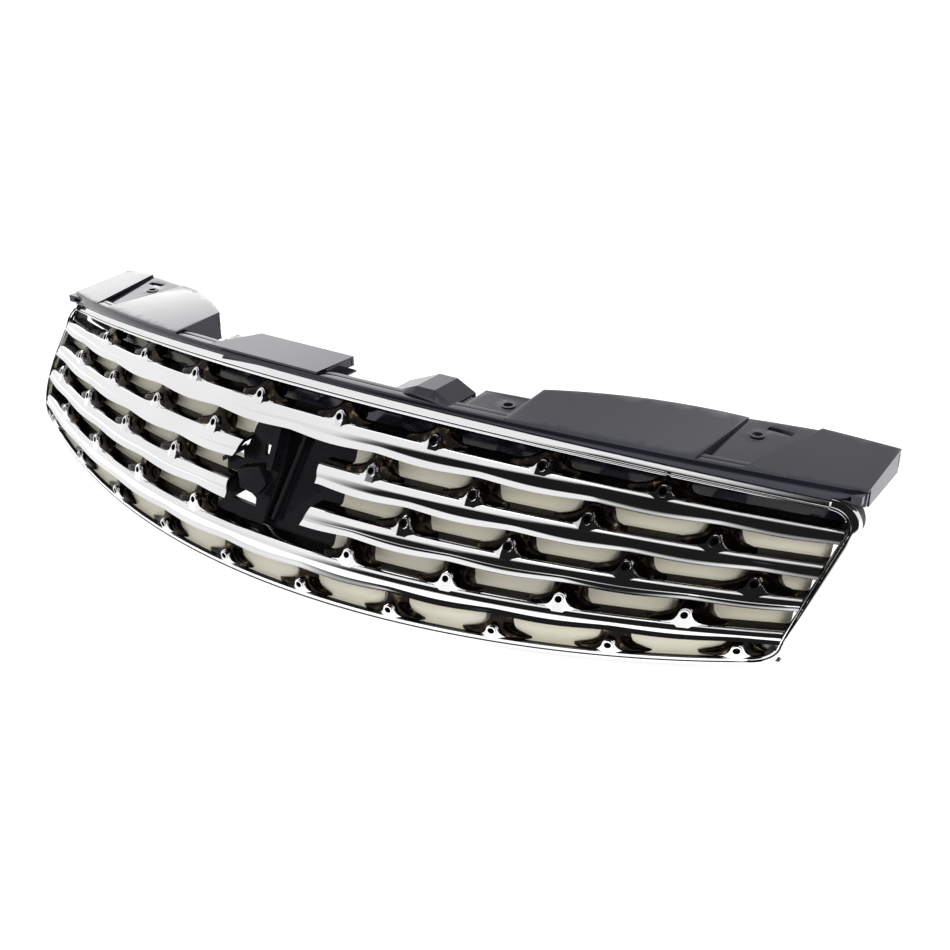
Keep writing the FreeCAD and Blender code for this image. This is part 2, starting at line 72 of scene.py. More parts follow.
def remap(tree, source, lo, hi, start=0.3, stop=0.7):
    """Turns start..stop of the source into lo..hi, with soft ends and clamped outside."""
    node = tree.nodes.new("ShaderNodeMapRange")
    node.interpolation_type = "SMOOTHSTEP"
    node.inputs["From Min"].default_value = start
    node.inputs["From Max"].default_value = stop
    node.inputs["To Min"].default_value = lo
    node.inputs["To Max"].default_value = hi
    tree.links.new(source, node.inputs["Value"])
    return node.outputs["Result"]


def ramp(tree, source, stops):
    """Colour ramp with stops given as (place, colour) pairs."""
    node = tree.nodes.new("ShaderNodeValToRGB")
    elements = node.color_ramp.elements
    while len(elements) < len(stops):
        elements.new(0.5)
    for element, (where, colour) in zip(elements, stops):
        element.position = where
        element.color = (*colour, 1.0)
    tree.links.new(source, node.inputs["Fac"])
    return node.outputs["Color"]


def combine(tree, operation, first, second):
    node = tree.nodes.new("ShaderNodeMath")
    node.operation = operation
    for socket, value in zip(node.inputs, (first, second)):
        if isinstance(value, (int, float)):
            socket.default_value = value
        else:
            tree.links.new(value, socket)
    return node.outputs["Value"]


def bump(tree, bsdf, source, strength, distance):
    node = tree.nodes.new("ShaderNodeBump")
    node.inputs["Strength"].default_value = strength
    node.inputs["Distance"].default_value = distance
    tree.links.new(source, node.inputs["Height"])
    tree.links.new(node.outputs["Normal"], bsdf.inputs["Normal"])


def chrome_material():
    mat, tree, bsdf = new_material("bright_chrome")
    bsdf.inputs["Metallic"].default_value = 1.0
    tint = noise(tree, 9.0, 2.0)
    stops = [(0.35, (0.86, 0.86, 0.87)), (0.65, (0.93, 0.93, 0.94))]
    colour = ramp(tree, tint, stops)
    tree.links.new(colour, bsdf.inputs["Base Color"])
    smear = noise(tree, 60.0, 4.0)
    tree.links.new(remap(tree, smear, 0.03, 0.075), bsdf.inputs["Roughness"])
    ripple = noise(tree, 35.0, 2.0)
    bump(tree, bsdf, ripple, 0.04, 0.0008)
    return mat


def painted_shade_chrome(name, low, high, rough):
    """Chrome with a near-black base colour: painted shade for chrome deep in a recess."""
    mat, tree, bsdf = new_material(name)
    bsdf.inputs["Metallic"].default_value = 0.85
    cloud = noise(tree, 30.0, 3.0)
    colour = ramp(tree, cloud, [(0.35, low), (0.65, high)])
    tree.links.new(colour, bsdf.inputs["Base Color"])
    tree.links.new(remap(tree, cloud, rough, rough + 0.08), bsdf.inputs["Roughness"])
    bump(tree, bsdf, cloud, 0.1, 0.0006)
    return mat


def post_material():
    """Chrome with a near-black base colour as painted shade, and a few warm painted highlights
    scattered over it as noise spots.
    """
    mat, tree, bsdf = new_material("post_chrome")
    bsdf.inputs["Metallic"].default_value = 0.9
    painted_glints = noise(tree, 130.0, 3.0, 0.55)
    # the near-black stops are painted shade, the bright warm stops painted highlights
    stops = [
        (0.42, (0.006, 0.005, 0.004)),
        (0.58, (0.018, 0.013, 0.008)),
        (0.68, (0.11, 0.08, 0.045)),
        (0.80, (0.60, 0.55, 0.46)),
    ]
    colour = ramp(tree, painted_glints, stops)
    tree.links.new(colour, bsdf.inputs["Base Color"])
    tree.links.new(remap(tree, painted_glints, 0.20, 0.10), bsdf.inputs["Roughness"])
    bump(tree, bsdf, painted_glints, 0.25, 0.0012)
    return mat


def louver_material():
    mat, tree, bsdf = new_material("satin_warm_silver_painted_reflection")
    bsdf.inputs["Metallic"].default_value = 0.1
    cloud = noise(tree, 14.0, 3.0)
    # The warm beige base colour is partly the louvers' own tone and partly a painted reflection of
    # the pale backdrop.
    stops = [(0.3, (0.76, 0.73, 0.58)), (0.7, (0.84, 0.81, 0.68))]
    colour = ramp(tree, cloud, stops)
    tree.links.new(colour, bsdf.inputs["Base Color"])
    grain = noise(tree, 900.0, 2.0)
    tree.links.new(remap(tree, grain, 0.30, 0.42), bsdf.inputs["Roughness"])
    bump(tree, bsdf, grain, 0.04, 0.0002)
    return mat


def black_material(name, rough_lo, rough_hi, grain_scale, grain_strength, base, specular=0.5):
    """Black plastic: base is its mean colour, and the grain sets both roughness and bump."""
    mat, tree, bsdf = new_material(name)
    bsdf.inputs["Specular IOR Level"].default_value = specular
    bsdf.inputs["Specular Tint"].default_value = COOL_TINT
    cloud = noise(tree, 12.0, 3.0)
    darker = tuple(0.75 * c for c in base)
    lighter = tuple(1.3 * c for c in base)
    colour = ramp(tree, cloud, [(0.3, darker), (0.7, lighter)])
    tree.links.new(colour, bsdf.inputs["Base Color"])
    grain = noise(tree, grain_scale, 3.0)
    tree.links.new(remap(tree, grain, rough_lo, rough_hi), bsdf.inputs["Roughness"])
    bump(tree, bsdf, grain, grain_strength, 0.0004)
    return mat


CHROME = chrome_material()
# Painted shade: near-black chrome for the shelves, hole walls and plate backs, and for the rail
# grooves.
SHADE_CHROME = painted_shade_chrome(
    "shaded_chrome", (0.006, 0.005, 0.005), (0.014, 0.012, 0.010), 0.12)
GROOVE_SHADE_CHROME = painted_shade_chrome("groove_shaded_chrome", (0.02, 0.02, 0.02), (0.05, 0.05, 0.05), 0.2)
POST = post_material()
LOUVER = louver_material()
GLOSS = black_material("gloss_black", 0.05, 0.14, 40.0, 0.03, (0.010, 0.010, 0.016))
BAY = black_material("bay_black", 0.18, 0.34, 180.0, 0.10, (0.006, 0.006, 0.007), 0.16)
MATTE = black_material("matte_black", 0.45, 0.62, 600.0, 0.20, (0.02, 0.02, 0.02))

BLACK_SLOTS = ("gloss_black", "bay_black", "matte_black")
SLOT_MATERIAL = {
    "chrome": CHROME,
    "chrome_posts": POST,
    "satin_louver": LOUVER,
    "gloss_black": GLOSS,
    "bay_black": BAY,
    "matte_black": MATTE,
}
SLOT_OF = {s["node"]: s["material_slot"] for s in frame["record"]["subparts"]}

for node, obj in NODES.items():
    obj.data.materials.clear()
    obj.data.materials.append(SLOT_MATERIAL[SLOT_OF[node]])


# ------------------------------------------------------------------ face geometry
# All sizes are in mm. A point of the face has an x and a level: the height above BASE_Z that it
# would have at the middle. MOVE then puts the bottom centre of the part on the origin.
BASE_Z = 140.0
MOVE = Vector((0.0, -65.4, -1.5))

REF_HALF = 412.0         # x at which the sweep and the drop below are given
SWEEP = 100.0            # how far back the face has swept there, at level 0
SWEEP_GAIN = 0.08        # extra sweep per mm below level 0
END_DROP = 32.6          # how far level 0 has dropped there
END_FAN = 0.332          # and how much less each mm lower drops
LEAN_A, LEAN_B, LEAN_C = 0.62, -0.0013, -0.00002

# the rim
TOP_LEVEL = 11.5
BOTTOM_LEVEL = -130.0
BOTTOM_WIDTH = 8.5
BOTTOM_CURL = 6.0        # how far the bottom rail curls up toward its ends
CURL_REF = 380.0
SIDE_HALF = 415.0
SIDE_TAPER = 0.19
TOP_CORNER_R = 14.0
BOTTOM_CORNER_R = 17.0
RAIL_STATIONS = 200

# the bars, by row from the top
BAR_LEVELS = {1: -4.3, 2: -34.4, 3: -64.0, 4: -95.2}
BAR_FACE = {1: 12.9, 2: 12.3, 3: 11.6, 4: 13.0}
BAR_TAPER = 3.2
BAR_STEP = 3.2           # length of one mesh step along a bar
LIP_WAVE = 1.8
LIP_FLARE = 2.0
BEVEL = 2.8
CREASE_SHARE = 0.7
SKIN = 2.4
SHELF_DEPTH = 17.0
SLANT_STEPS = 5.0        # mesh steps over which a slanted end is blended in

# the louvers
LOUVER_START = 58.0      # where the right louvers begin, clear of the bay
LOUVER_STEP = 6.0
LOUVER_INSET = 1.2
LOW_LOUVER_DEPTH = 6.0

# the bosses and posts; row 5 stands on the bottom rail
ROW_PITCH = {1: 84.8, 2: 84.7, 3: 82.5, 4: 83.6, 5: 82.4}
ROW_STEPS = {
    1: (0.5, 1.5, 2.5, 3.5),
    2: (1.0, 2.0, 3.0, 4.0),
    3: (1.5, 2.5, 3.5, 4.5),
    4: (1.0, 2.0, 3.0, 4.0),
    5: (0.5, 1.5, 2.5, 3.5, 4.5),
}
BOSS_RISE = {1: 4.4, 2: 5.6, 3: 7.0, 4: 7.2, 5: 6.6}
BOSS_R = 4.2
BOSS_RIM_R = 3.6
BOSS_CUT_R = 3.5         # the plate is cut back to this around the ring
BOSS_HOLE_R = 2.3
BOSS_REACH = 15.0        # half width of the boss plate's foot
BOSS_COLUMNS = 57
RING_POINTS = 40
POST_DEPTH = 25.0
POST_POINTS = 28
POST_LEVELS = (0.0, 0.6, 1.3, 2.2, 3.3, 4.6, 6.0, 7.6, 9.4, 11.6, 14.5)

# the emblem bay
BAY_X, BAY_LEVEL, BAY_R = -5.0, -55.0, 46.0

# the softened edges of the black pieces, in m and degrees
WELD_GAP = 0.00002
EDGE_WIDTH = 0.0008
EDGE_ANGLE = 40


def place(x, y, z):
    return (Vector((x, y, z)) + MOVE) * MM


def lean(level):
    """How far back the face leans at a level, at the middle."""
    return LEAN_A * level + LEAN_B * level ** 2 + LEAN_C * level ** 3


def lean_slope(level):
    return LEAN_A + 2 * LEAN_B * level + 3 * LEAN_C * level ** 2


def face_y(x, level):
    u = x / REF_HALF
    return lean(level) + (SWEEP - SWEEP_GAIN * level) * u * u


def face_z(x, level):
    u = x / REF_HALF
    return BASE_Z + level - (END_DROP + END_FAN * level) * u * u


def side_x(level):
    """Half width of the outline at a level."""
    return SIDE_HALF + SIDE_TAPER * level


def bottom_level(x):
    return BOTTOM_LEVEL + BOTTOM_CURL * abs(x / CURL_REF) ** 6


def bottom_end():
    """Where the bottom rail's straight run ends and its corner begins."""
    return side_x(BOTTOM_LEVEL + BOTTOM_CURL + BOTTOM_CORNER_R) - BOTTOM_CORNER_R


def row_level(row, x):
    return bottom_level(x) if row == 5 else BAR_LEVELS[row]


def spread(lo, hi, count):
    return [lo + (hi - lo) * i / (count - 1) for i in range(count)]


# ------------------------------------------------------------------ mesh building
def new_object(name, verts, faces, materials, indices=None, sharp=38.0):
    mesh = bpy.data.meshes.new(name)
    mesh.from_pydata([tuple(v) for v in verts], [], faces)
    for mat in materials:
        mesh.materials.append(mat)
    if indices:
        for poly, index in zip(mesh.polygons, indices):
            poly.material_index = index
    bm = bmesh.new()
    bm.from_mesh(mesh)
    bmesh.ops.recalc_face_normals(bm, faces=bm.faces)
    bm.to_mesh(mesh)
    bm.free()
    mesh.shade_smooth()
    mesh.set_sharp_from_angle(angle=math.radians(sharp))
    obj = bpy.data.objects.new(name, mesh)
    bpy.context.scene.collection.objects.link(obj)
    return obj


def tube_faces(rows, ring, offset=0):
    """Faces of a capped tube of closed rings, and the place around the ring of each face."""
    faces, strips = [], []
    for i in range(rows - 1):
        for j in range(ring):
            k = (j + 1) % ring
            a = offset + i * ring
            faces.append((a + j, a + k, a + ring + k, a + ring + j))
            strips.append(j)
    faces.append(tuple(offset + j for j in range(ring)))
    faces.append(tuple(offset + (rows - 1) * ring + j for j in range(ring)))
    strips += [0, 0]
    return faces, strips


def loft_object(name, sections, materials, strip_material=None, sharp=38.0):
    """Skin over sections; strip_material gives each strip around it its material's index."""
    ring = len(sections[0])
    verts = [v for s in sections for v in s]
    faces, strips = tube_faces(len(sections), ring)
    indices = [strip_material[j] for j in strips] if strip_material else None
    return new_object(name, verts, faces, materials, indices, sharp)


def adopt(obj, slot, *nodes):
    """Puts a new piece on the part's one body, in place of the CAD nodes named."""
    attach(obj, "root")
    if nodes:
        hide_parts(*nodes)
    return obj


# ------------------------------------------------------------------ bars
def lip_drop(x, row):
    """Height of a bar's face at x: it tapers to the ends and waves between the posts below."""
    pitch = ROW_PITCH[row + 1]
    phase = 0.0 if ROW_STEPS[row + 1][0] == 1.0 else 0.5
    wave = 0.5 - 0.5 * math.cos(2 * math.pi * (x / pitch - phase))
    u = x / REF_HALF
    return BAR_FACE[row] - BAR_TAPER * u * u + LIP_WAVE * (wave ** 0.7 - 0.5)


def bar_profile(x, row):
    """Section of a bar as (fall, depth) pairs: how far down the face, and how far behind it."""
    lip = lip_drop(x, row)
    crease = CREASE_SHARE * lip
    pts = [(0.15, 2.6), (0.45, 1.7), (0.95, 1.0), (1.7, 0.55), (BEVEL, 0.15), (BEVEL + 0.8, -0.1)]
    for t in (0.3, 0.6, 0.85):
        pts.append((BEVEL + (crease - BEVEL) * t, -0.35 * math.sin(math.pi * t)))
    pts.append((crease, 0.0))
    for t in (0.3, 0.65, 0.9):
        pts.append((crease + (lip - crease) * t, -LIP_FLARE * t ** 1.4))
    pts += [(lip + 0.1, -LIP_FLARE + 0.1), (lip + 0.15, -LIP_FLARE + 0.8)]
    return pts + [(lip, 0.9), (crease, 2.3)]


def bar_section(x, row, lean_in=0.0):
    """lean_in moves each point sideways in proportion to how far down the bar it lies."""
    level = BAR_LEVELS[row]
    y, z = face_y(x, level), face_z(x, level)
    front = []
    for fall, depth in bar_profile(x, row):
        at = x + lean_in * min(fall / BAR_FACE[row], 1.0)
        front.append(place(at, face_y(at, level - fall) + depth, face_z(at, level - fall)))
    shelf = [place(x, y + SHELF_DEPTH, z), place(x, y + 8.0, z), place(x, y + 4.2, z)]
    under = [place(x, y + 3.6, z - 3.0), place(x, y + SHELF_DEPTH, z - SKIN)]
    return shelf + front + under


def bar_reach(row):
    return side_x(BAR_LEVELS[row] - BAR_FACE[row] / 2) + 0.4


def bay_edge(row, side):
    """Where the round bay cuts a bar, at the bar's top edge and at its lip."""
    cuts = []
    for fall in (0.0, BAR_FACE[row]):
        drop = BAR_LEVELS[row] - fall - BAY_LEVEL
        cuts.append(BAY_X + side * math.sqrt(BAY_R ** 2 - drop ** 2))
    return cuts


def make_bar(name, row, x0, x1, node, slant0=0.0, slant1=0.0):
    """slant0 and slant1 are how far each end leans outward between the top edge and the lip."""
    count = int((x1 - x0) / BAR_STEP) + 2
    sections = []
    for i, x in enumerate(spread(x0, x1, count)):
        near0 = max(0.0, 1.0 - i / SLANT_STEPS)
        near1 = max(0.0, 1.0 - (count - 1 - i) / SLANT_STEPS)
        sections.append(bar_section(x, row, slant0 * near0 + slant1 * near1))
    ring = len(sections[0])
    # the shelf is the first two strips and the underside the last three; they take the near-black
    # chrome as painted shade
    dark = [1 if j < 2 or j >= ring - 3 else 0 for j in range(ring)]
    obj = loft_object(name, sections, [CHROME, SHADE_CHROME], dark)
    return adopt(obj, "chrome", node)


# ------------------------------------------------------------------ bosses and posts
def seat(x, level):
    """Function that carries a point given beside (x, level) onto the swept, leaning face."""
    sweep = (face_y(x + 1, level) - face_y(x - 1, level)) / 2
    fall = (face_z(x + 1, level) - face_z(x - 1, level)) / 2
    slope = lean_slope(level)
    y0, z0 = face_y(x, level), face_z(x, level)

    def carry(px, py, pz):
        return place(x + px, y0 + py + sweep * px + slope * pz, z0 + pz + fall * px)

    return carry


def boss_outline(rise):
    """Outline of a boss plate as (x, z), from the left foot over the head to the right foot."""
    out = []
    shoulder = BOSS_R * 0.94
    for x in spread(-BOSS_REACH, BOSS_REACH, BOSS_COLUMNS):
        if abs(x) < shoulder:
            z = rise + math.sqrt(BOSS_R ** 2 - x ** 2)
        else:
            z = (rise + 1.0) * math.exp(-(abs(x) - shoulder) / 2.7)
        out.append((x, z))
    return out


def make_ring(carry, rise, verts, faces, indices):
    """Round hole with a raised rim around it, centred rise above the seat."""
    outer, inner, lip = [], [], []
    for i in range(RING_POINTS):
        a = 2 * math.pi * i / RING_POINTS
        hole = (BOSS_HOLE_R * math.cos(a), rise + BOSS_HOLE_R * math.sin(a))
        inner.append(hole)
        lip.append((hole[0] * 1.08, rise + (hole[1] - rise) * 1.08))
        outer.append((BOSS_RIM_R * math.cos(a), rise + BOSS_RIM_R * math.sin(a)))
    base = len(verts)
    loops = [(inner, 2.6), (inner, 0.2), (lip, -0.85), (outer, -0.85), (outer, -0.1), (outer, 2.6)]
    for loop, y in loops:
        verts += [carry(x, y, z) for x, z in loop]
    for i in range(len(loops)):
        here = base + i * RING_POINTS
        there = base + (i + 1) % len(loops) * RING_POINTS
        for k in range(RING_POINTS):
            m = (k + 1) % RING_POINTS
            faces.append((here + k, here + m, there + m, there + k))
            # The hole's wall takes the near-black chrome: painted shade.
            indices.append(1 if i in (0, 1) else 0)    # the wall of the hole is dark


def make_plate(carry, rise, verts, faces, indices):
    """Plate around the ring, column by column under the outline: 4 points in front, 4 behind."""
    low = -2.2
    columns = boss_outline(rise)
    start = len(verts)
    for x, z in columns:
        d = abs(x)
        if d < BOSS_CUT_R:
            h = math.sqrt(BOSS_CUT_R ** 2 - d ** 2)
            levels = [low, rise - h, rise + h, z]
        else:
            levels = [low, (low + z) / 2, (low + z) / 2, z]
        recede = min(0.38 * max(d - 3.7, 0.0), 2.4)
        for y in (0.25, 2.5):
            verts += [carry(x, y + recede, v) for v in levels]
    for i in range(len(columns) - 1):
        a, b = start + i * 8, start + (i + 1) * 8
        at_hole = abs(columns[i][0] + columns[i + 1][0]) / 2 < BOSS_CUT_R
        for lo in (0, 1, 2):
            if lo == 1 and at_hole:
                continue
            faces.append((a + lo, b + lo, b + lo + 1, a + lo + 1))
            indices.append(0)
            # the back of the plate takes the near-black chrome: painted shade
            faces.append((a + 4 + lo, a + 5 + lo, b + 5 + lo, b + 4 + lo))
            indices.append(1)
        faces.append((a + 3, b + 3, b + 7, a + 7))
        indices.append(0)


def post_flare(rise):
    """Half width of a post's front at a height."""
    return min(27.0, 5.0 + 23.0 * math.exp(-(rise - 2.4) / 3.6))


def post_wall(rise, height):
    """Half width of a post's back at a height."""
    return 13.0 - 5.4 * min(rise / height, 1.0)


def make_post(carry, height, verts, faces):
    """Post behind a boss: a wide flare in front that narrows upward, with straight walls behind."""
    levels = [v for v in POST_LEVELS if v < height - 1.0] + [0.75 * height, height]
    levels = sorted(v for v in levels if v <= height)
    base = len(verts)
    for rise in levels:
        flare = post_flare(rise)
        wall = post_wall(rise, height)
        front = 3.0 + 6.0 * min(rise / height, 1.0) ** 1.2
        depth = (POST_DEPTH - front) / 2
        mid = front + depth
        for k in range(POST_POINTS):
            a = 2 * math.pi * (k + 0.5) / POST_POINTS
            c, s = math.cos(a), math.sin(a)
            py = mid + depth * math.copysign(abs(s) ** 0.45, s)
            back = min(max((py - 8.0) / 4.0, 0.0), 1.0)
            half = flare + (wall - flare) * back
            verts.append(carry(half * math.copysign(abs(c) ** 0.55, c), py, rise))
    faces += tube_faces(len(levels), POST_POINTS, base)[0]


def make_rows():
    """The bosses of a row are one piece and its posts another."""
    for row in ROW_PITCH:
        boss_verts, boss_faces, boss_indices = [], [], []
        post_verts, post_faces = [], []
        for step in ROW_STEPS[row]:
            for side in (-1, 1):
                x = side * step * ROW_PITCH[row]
                level = row_level(row, x)
                above = TOP_LEVEL if row == 1 else row_level(row - 1, x) - SKIN - 0.2
                height = face_z(x, above) - face_z(x, level)
                carry = seat(x, level)
                make_ring(carry, BOSS_RISE[row], boss_verts, boss_faces, boss_indices)
                make_plate(carry, BOSS_RISE[row], boss_verts, boss_faces, boss_indices)
                make_post(carry, height, post_verts, post_faces)
        bosses = new_object("bosses_row_%d" % row, boss_verts, boss_faces, [CHROME, SHADE_CHROME],
                            boss_indices, 45.0)
        adopt(bosses, "chrome")
        posts = new_object("posts_row_%d_shaped" % row, post_verts, post_faces, [POST], sharp=60.0)
        adopt(posts, "chrome_posts", "posts_row_%d" % row)


# ------------------------------------------------------------------ louvers
def louver_section(x, level, depth):
    """Section of a louver as (back, up) pairs from its foot, which stands depth behind the face."""
    y = face_y(x, level) + depth
    z = face_z(x, level)
    tilt = lean_slope(level) * 2 + 6.0
    front = [(-1.6, 0.08), (0.6, 0.35), (1.9, 1.2), (2.9, 2.8), (3.9, 5.2), (4.9, 8.0),
             (tilt - 0.4, 12.4), (tilt, 13.0), (tilt + 0.8, 13.0)]
    rear = [(tilt + 1.6, 12.4), (6.6, 6.0), (4.6, 0.6), (2.0, -SKIN), (-1.6, -SKIN)]
    return [place(x, y + dy, z + dz) for dy, dz in front + rear]


def make_louver(name, row, x0, x1, node, depth=SHELF_DEPTH):
    count = int((x1 - x0) / LOUVER_STEP) + 2
    sections = [louver_section(x, row_level(row, x), depth) for x in spread(x0, x1, count)]
    return adopt(loft_object(name, sections, [LOUVER], sharp=50.0), "satin_louver", node)


# ------------------------------------------------------------------ surround
def arc(x, level, radius, start, stop, count):
    """Arc around (x, level) as (x, level) points; start and stop are in degrees."""
    out = []
    for angle in spread(start, stop, count):
        a = math.radians(angle)
        out.append((x + radius * math.cos(a), level + radius * math.sin(a)))
    return out


def side_outline():
    """The right side with its two corners, from the top rail down to the bottom rail."""
    tilt = math.degrees(math.atan(SIDE_TAPER))
    top_level = TOP_LEVEL - TOP_CORNER_R
    low_level = BOTTOM_LEVEL + BOTTOM_CURL + BOTTOM_CORNER_R
    top = arc(side_x(top_level) - TOP_CORNER_R, top_level, TOP_CORNER_R, 90, -tilt, 15)
    low = arc(side_x(low_level) - BOTTOM_CORNER_R, low_level, BOTTOM_CORNER_R, -tilt, -90, 15)
    middle = [(side_x(v), v) for v in spread(top[-1][1], low[0][1], 26)[1:-1]]
    return top + middle + low


# Profiles of the rails as (out, back, dark): how far out from the opening, how far behind the face,
# and whether the strip that starts there is in the groove; those strips, and the bottom rail's
# inner shelf, take the near-black chrome as painted shade.
RAIL_PROFILE = [
    (0.0, 4.0, 0), (0.0, 1.3, 0), (0.2, 0.5, 0), (0.8, 0.05, 0), (1.4, 0.2, 0),
    (1.8, 0.7, 1), (2.0, 1.3, 1), (2.5, 1.3, 1),
    (2.7, 0.2, 0), (3.1, -0.1, 0), (3.7, 0.1, 0), (4.7, 0.75, 0), (5.8, 1.65, 0),
    (6.9, 2.7, 0), (7.3, 3.3, 0), (7.5, 4.0, 0), (7.5, 9.0, 0), (4.9, 9.0, 0), (4.9, 5.0, 0),
]
BOTTOM_PROFILE = [
    (0.0, 3.4, 1), (0.0, 1.2, 0), (0.3, 0.4, 0), (1.0, 0.1, 0), (2.2, 0.0, 0), (3.0, 0.2, 0),
    (3.4, 0.6, 1), (3.6, 1.3, 1), (4.2, 1.3, 1),
    (4.5, 0.3, 0), (5.0, 0.05, 0), (6.2, 0.05, 0),
    (BOTTOM_WIDTH - 1.2, 0.3, 0), (BOTTOM_WIDTH - 0.3, 0.9, 0),
    (BOTTOM_WIDTH, 2.0, 0), (BOTTOM_WIDTH, 5.0, 0),
    (SKIN, 5.0, 1), (SKIN, SHELF_DEPTH, 1), (0.0, SHELF_DEPTH, 1),
]


def rail_section(x, level, profile, sign):
    """Section of the top rail (sign 1) or the bottom rail (sign -1) at x."""
    out = []
    for n, b, _ in profile:
        v = level + sign * n
        out.append(place(x, face_y(x, v) + b, face_z(x, v)))
    return out


def sweep_sections(path, profile):
    """Sections of a rail along a path of points in the frame."""
    sections = []
    for i, here in enumerate(path):
        before, after = path[max(i - 1, 0)], path[min(i + 1, len(path) - 1)]
        along = (after - before).normalized()
        back = (Vector((0, 1, 0)) - along * along.y).normalized()
        out = along.cross(back)
        sections.append([here + (out * n + back * b) * MM for n, b, _ in profile])
    return sections


def make_rail(name, sections, profile, node):
    # the flagged strips take the near-black groove chrome: painted shade
    dark = [strip for _, _, strip in profile]
    adopt(loft_object(name, sections, [CHROME, GROOVE_SHADE_CHROME], dark), "chrome", node)


def make_surround():
    end = side_x(TOP_LEVEL - TOP_CORNER_R) - TOP_CORNER_R
    top = [rail_section(x, TOP_LEVEL, RAIL_PROFILE, 1.0) for x in spread(-end, end, RAIL_STATIONS)]
    make_rail("rim_top", top, RAIL_PROFILE, "surround_top")
    end = bottom_end()
    low = [rail_section(x, bottom_level(x), BOTTOM_PROFILE, -1.0)
           for x in spread(-end, end, RAIL_STATIONS)]
    make_rail("rim_bottom", low, BOTTOM_PROFILE, "surround_bottom")
    path = [place(x, face_y(x, v), face_z(x, v)) for x, v in side_outline()]
    right = sweep_sections(path, RAIL_PROFILE)
    make_rail("rim_right", right, RAIL_PROFILE, "surround_side_right")
    left = [[Vector((-v.x, v.y, v.z)) for v in section] for section in right]
    make_rail("rim_left", left, RAIL_PROFILE, "surround_side_left")


def make_front():
    for row in (1, 4):
        reach = bar_reach(row)
        make_bar("bar_%d_shaped" % row, row, -reach, reach, "bar_%d" % row)
    for row in (2, 3):
        reach = bar_reach(row)
        l0, l1 = bay_edge(row, -1)
        r0, r1 = bay_edge(row, 1)
        make_bar("bar_%d_left_shaped" % row, row, -reach, l0, "bar_%d_left" % row, 0.0, l1 - l0)
        make_bar("bar_%d_right_shaped" % row, row, r0, reach, "bar_%d_right" % row, r1 - r0, 0.0)
    make_rows()
    for row in (2, 3, 4):
        end = bar_reach(row) - LOUVER_INSET
        spans = {"left": (-end, BAY_X - BAY_R), "right": (LOUVER_START, end)}
        for side, (x0, x1) in spans.items():
            node = "louver_%d_%s" % (row, side)
            make_louver(node + "_shaped", row, x0, x1, node)
    end = bottom_end()
    make_louver("louver_5_shaped", 5, -end, end, "louver_5", LOW_LOUVER_DEPTH)
    make_surround()


def soften_cad():
    """Small round edges on the black CAD pieces, which keep their shape."""
    for name, obj in NODES.items():
        if SLOT_OF[name] not in BLACK_SLOTS:
            continue
        weld = obj.modifiers.new("weld", "WELD")
        weld.merge_threshold = WELD_GAP
        bevel = obj.modifiers.new("bevel", "BEVEL")
        bevel.width = EDGE_WIDTH
        bevel.segments = 3
        bevel.limit_method = "ANGLE"
        bevel.angle_limit = math.radians(EDGE_ANGLE)
        bevel.harden_normals = True


# ------------------------------------------------------------------ floor, lights, camera
FLOOR_SIZE = 80.0
FLOOR_DROP = 0.0004        # keeps the floor clear of the part's underside

FILL_PLACE = (2.0, -1.1, 1.3)
FILL_TARGET = (0.15, 0, 0.08)
FILL_SIZE = 1.0
FILL_POWER = 34

# The studio is a white tent, bright overhead, at the back and on the left, with dark flags in
# front and on the right. All of it is seen in the chrome. Levels and turns are in degrees: a
# level is the height above the horizon, and a turn goes from the front toward the right.
FLAG_LEVEL = 0.012         # brightness of the flags
FLAG_TOP = (60.0, 76.0)    # where the dark flag ends overhead, before the rise to the right
FLAG_RISE = 1.1            # how fast that edge rises toward the right
FLAG_TURN = 7.0            # and where it stops rising
FLAG_LOW = (2.0, 9.0)      # where it ends near the horizon
TENT_FRONT = (-38.0, -24.0)
TENT_BACK = (115.0, 140.0)
TENT_LEVEL = 0.84
OVER_LEVEL = 0.93
GLOW = 1.6                 # extra light on the tent behind and to the left
GLOW_LEFT = (-128.0, -105.0)
GLOW_BACK = (-154.0, -134.0)

CAMERA_AZIMUTH = 35.004
CAMERA_ELEVATION = 26.266
CAMERA_ROLL = -0.747
CAMERA_DISTANCE = 0.8744
CAMERA_AIM = (171.2, 0.0, BASE_Z - 16.0)
CAMERA_LENS = 45.47
SENSOR_WIDTH = 36.0


def make_floor():
    bpy.ops.mesh.primitive_plane_add(size=FLOOR_SIZE, location=(0, 1.0, -FLOOR_DROP))
    floor = bpy.context.object
    floor.name = "floor"
    mat, tree, bsdf = new_material("pale_floor")
    cloud = noise(tree, 3.0, 2.0)
    stops = [(0.3, (0.86, 0.86, 0.86)), (0.7, (0.90, 0.90, 0.90))]
    tree.links.new(ramp(tree, cloud, stops), bsdf.inputs["Base Color"])
    bsdf.inputs["Roughness"].default_value = 0.9
    bsdf.inputs["Specular IOR Level"].default_value = 0.1
    bsdf.inputs["Emission Color"].default_value = (1.0, 1.0, 1.0, 1.0)
    bsdf.inputs["Emission Strength"].default_value = 0.55
    floor.data.materials.append(mat)


def make_fill():
    """Soft light from the right that the chrome doesn't mirror."""
    data = bpy.data.lights.new("fill", "AREA")
    data.shape = "RECTANGLE"
    data.size = FILL_SIZE
    data.size_y = FILL_SIZE
    data.energy = FILL_POWER
    fill = bpy.data.objects.new("fill", data)
    bpy.context.scene.collection.objects.link(fill)
    fill.location = Vector(FILL_PLACE)
    toward = Vector(FILL_TARGET) - Vector(FILL_PLACE)
    fill.rotation_euler = toward.to_track_quat("-Z", "Y").to_euler()
    fill.visible_glossy = False


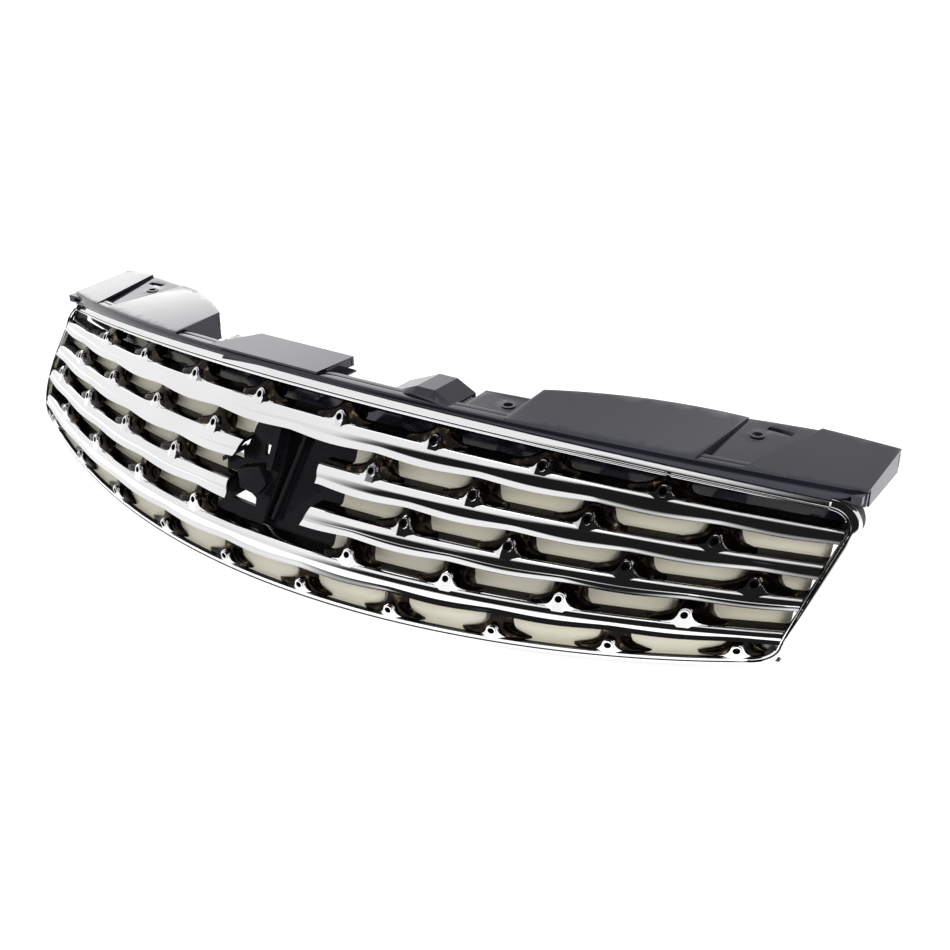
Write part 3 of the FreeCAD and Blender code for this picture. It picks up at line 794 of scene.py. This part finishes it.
def make_world():
    world = bpy.data.worlds.new("studio")
    bpy.context.scene.world = world
    world.use_nodes = True
    tree = world.node_tree
    back = tree.nodes["Background"]
    where = tree.nodes.new("ShaderNodeTexCoord")
    split = tree.nodes.new("ShaderNodeSeparateXYZ")
    tree.links.new(where.outputs["Generated"], split.inputs["Vector"])
    x, y, z = (split.outputs[axis] for axis in "XYZ")
    level = combine(tree, "ARCSINE", z, 0.0)
    turn = combine(tree, "ARCTAN2", x, combine(tree, "MULTIPLY", y, -1.0))
    level = combine(tree, "MULTIPLY", level, 180.0 / math.pi)
    turn = combine(tree, "MULTIPLY", turn, 180.0 / math.pi)
    rise = combine(tree, "MULTIPLY", combine(tree, "MINIMUM", turn, FLAG_TURN), FLAG_RISE)
    over = remap(tree, combine(tree, "SUBTRACT", level, rise), 0.0, OVER_LEVEL, *FLAG_TOP)
    under = remap(tree, level, 1.0, 0.0, *FLAG_LOW)
    front = remap(tree, turn, 1.0, 0.0, *TENT_FRONT)
    rear = remap(tree, turn, 0.0, 1.0, *TENT_BACK)
    side = combine(tree, "MAXIMUM", front, rear)
    glow_left = remap(tree, turn, GLOW, 0.0, *GLOW_LEFT)
    glow_back = remap(tree, turn, 0.0, 1.0, *GLOW_BACK)
    tent = combine(tree, "ADD", combine(tree, "MULTIPLY", glow_left, glow_back), TENT_LEVEL)
    wall = combine(tree, "MULTIPLY", side, tent)
    lit = combine(tree, "MAXIMUM", combine(tree, "MAXIMUM", over, under), wall)
    strength = combine(tree, "MAXIMUM", lit, FLAG_LEVEL)
    back.inputs["Color"].default_value = (1.0, 1.0, 1.0, 1.0)
    tree.links.new(strength, back.inputs["Strength"])


def make_camera():
    azimuth = math.radians(CAMERA_AZIMUTH)
    elevation = math.radians(CAMERA_ELEVATION)
    roll = math.radians(CAMERA_ROLL)
    aim = place(*CAMERA_AIM)
    back = Vector((math.sin(azimuth) * math.cos(elevation),
                   -math.cos(azimuth) * math.cos(elevation),
                   math.sin(elevation)))
    right = Vector((math.cos(azimuth), math.sin(azimuth), 0))
    up = back.cross(right)
    side = right * math.cos(roll) + up * math.sin(roll)
    top = up * math.cos(roll) - right * math.sin(roll)
    data = bpy.data.cameras.new("camera")
    data.sensor_width = SENSOR_WIDTH
    data.lens = CAMERA_LENS
    data.clip_start = 0.02
    camera = bpy.data.objects.new("camera", data)
    bpy.context.scene.collection.objects.link(camera)
    turn = Matrix((side, top, back)).transposed().to_4x4()
    turn.translation = aim + back * CAMERA_DISTANCE
    camera.matrix_world = turn
    bpy.context.scene.camera = camera


make_front()
soften_cad()
make_floor()
make_world()
make_fill()
make_camera()
bpy.context.scene.view_settings.view_transform = "Standard"
